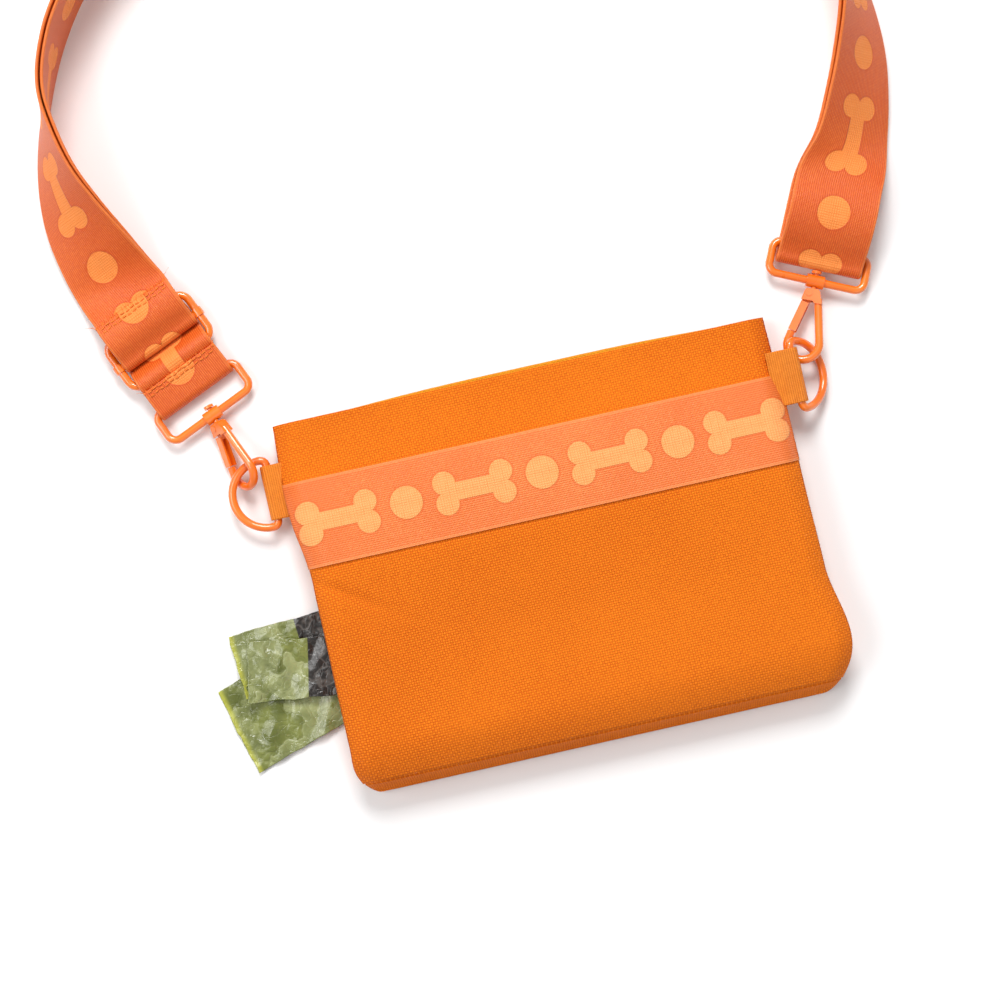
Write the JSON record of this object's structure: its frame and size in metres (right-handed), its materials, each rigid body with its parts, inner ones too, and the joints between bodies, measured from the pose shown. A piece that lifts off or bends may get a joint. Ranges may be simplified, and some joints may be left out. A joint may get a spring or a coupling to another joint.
{
  "type": "treat pouch",
  "caption": "Flat canvas treat pouch with a magnetic mouth, woven band, waste-bag dispenser slot, side D-rings and a clip-on webbing strap with slider.",
  "frame": {"origin": "centre of the pouch's flat back face, where it rests", "axes": "+Z out of the pouch's front, +Y towards its mouth, +X across it to the wearer's left"},
  "size_m": [0.3777, 0.4323, 0.0405],
  "materials": {
    "canvas": "coarse orange canvas weave",
    "hem_tape": "bright folded hem facing",
    "lining": "smooth coated lining",
    "webbing": "satin patterned webbing",
    "ribbed_webbing": "ribbed webbing",
    "coated_metal": "gloss orange coating",
    "spring_steel": "spring steel",
    "magnet": "plated disc",
    "bag_film": "crinkled glossy film",
    "card": "plain card tube"
  },
  "bodies": {
    "pouch": {"back_panel": "canvas", "bottom_gusset": "canvas", "gusset_left": "canvas", "gusset_right": "canvas", "facing_back": "hem_tape", "lining_back": "lining", "magnets_back": "magnet", "dispenser_pocket": "lining", "tab_left": "ribbed_webbing", "tab_right": "ribbed_webbing", "slider_bar": "coated_metal", "strap_webbing": "webbing"},
    "front": {"front_panel": "canvas", "facing_front": "hem_tape", "lining_front": "lining", "webbing_band": "webbing", "magnets_front": "magnet"},
    "d_ring_left": {"d_ring_left": "coated_metal"},
    "d_ring_right": {"d_ring_right": "coated_metal"},
    "strap_ring_left": {"strap_ring_left": "coated_metal"},
    "strap_ring_right": {"strap_ring_right": "coated_metal"},
    "hook_left": {"hook_left": "coated_metal", "gate_pin_left": "coated_metal", "gate_spring_left": "spring_steel"},
    "hook_right": {"hook_right": "coated_metal", "gate_pin_right": "coated_metal", "gate_spring_right": "spring_steel"},
    "gate_left": {"gate_left": "coated_metal"},
    "gate_right": {"gate_right": "coated_metal"},
    "slider_frame": {"slider_frame": "coated_metal"},
    "bag_roll": {"bag_roll": "bag_film", "roll_core": "card"},
    "bag_tails": {"bag_tail_upper": "bag_film", "bag_tail_middle": "bag_film", "bag_tail_lower": "bag_film"}
  },
  "joints": [
    {"name": "mouth_open", "type": "hinge", "parent": "pouch", "child": "front", "pos_m": [0, -0.0765, 0.019], "axis": [1, 0, 0], "range_deg": [0, 16]},
    {"name": "strap_ring_left_lift", "type": "hinge", "parent": "pouch", "child": "strap_ring_left", "pos_m": [-0.14094, 0.10764, 0.00362], "axis": [-0.9171, -0.3987, 0], "range_deg": [-1, 5]},
    {"name": "d_ring_left_swing", "type": "hinge", "parent": "pouch", "child": "d_ring_left", "pos_m": [-0.117, 0.0553, 0.007], "axis": [0, 1, 0], "range_deg": [-4.5, 22.5]},
    {"name": "hook_left_swivel", "type": "hinge", "parent": "strap_ring_left", "child": "hook_left", "pos_m": [-0.1351, 0.0942, 0.00475], "axis": [0.2745, -0.9586, 0.0761], "range_deg": [-8, 12]},
    {"name": "gate_left_open", "type": "hinge", "parent": "hook_left", "child": "gate_left", "pos_m": [-0.13437, 0.08852, 0.0042], "axis": [-0.7347, -0.158, 0.6597], "range_deg": [0, 24], "stiffness_Nm_per_rad": 0.004, "springref_deg": -17.19},
    {"name": "strap_ring_right_lift", "type": "hinge", "parent": "pouch", "child": "strap_ring_right", "pos_m": [0.14138, 0.10695, 0.00376], "axis": [-0.9063, 0.4226, 0], "range_deg": [-2, 0.5]},
    {"name": "d_ring_right_swing", "type": "hinge", "parent": "pouch", "child": "d_ring_right", "pos_m": [0.117, 0.0553, 0.0132], "axis": [0, -1, 0], "range_deg": [-3, 3]},
    {"name": "hook_right_swivel", "type": "hinge", "parent": "strap_ring_right", "child": "hook_right", "pos_m": [0.1352, 0.0937, 0.00525], "axis": [-0.4046, -0.9089, 0.101], "range_deg": [-8, 20]},
    {"name": "gate_right_open", "type": "hinge", "parent": "hook_right", "child": "gate_right", "pos_m": [0.13177, 0.08909, 0.00551], "axis": [-0.1796, 0.1873, 0.9658], "range_deg": [0, 24], "stiffness_Nm_per_rad": 0.004, "springref_deg": -17.19},
    {"name": "slider_frame_slide", "type": "slide", "parent": "pouch", "child": "slider_frame", "axis": [-0.3987, 0.9171, 0], "range_m": [-0.0002, 0.0005]},
    {"name": "bags_pull", "type": "slide", "parent": "pouch", "child": "bag_tails", "axis": [-1, 0, 0], "range_m": [0, 0.05]},
    {"name": "roll_spin", "type": "hinge", "parent": "pouch", "child": "bag_roll", "pos_m": [-0.0905, -0.025, 0.0119], "axis": [0, -1, 0], "range_deg": [-5, 305]}
  ],
  "couplings": [
    {"joint": "d_ring_left_swing", "follows": "strap_ring_left_lift", "ratio": 4.5},
    {"joint": "roll_spin", "follows": "bags_pull", "rad_per_m": 105.26}
  ]
}
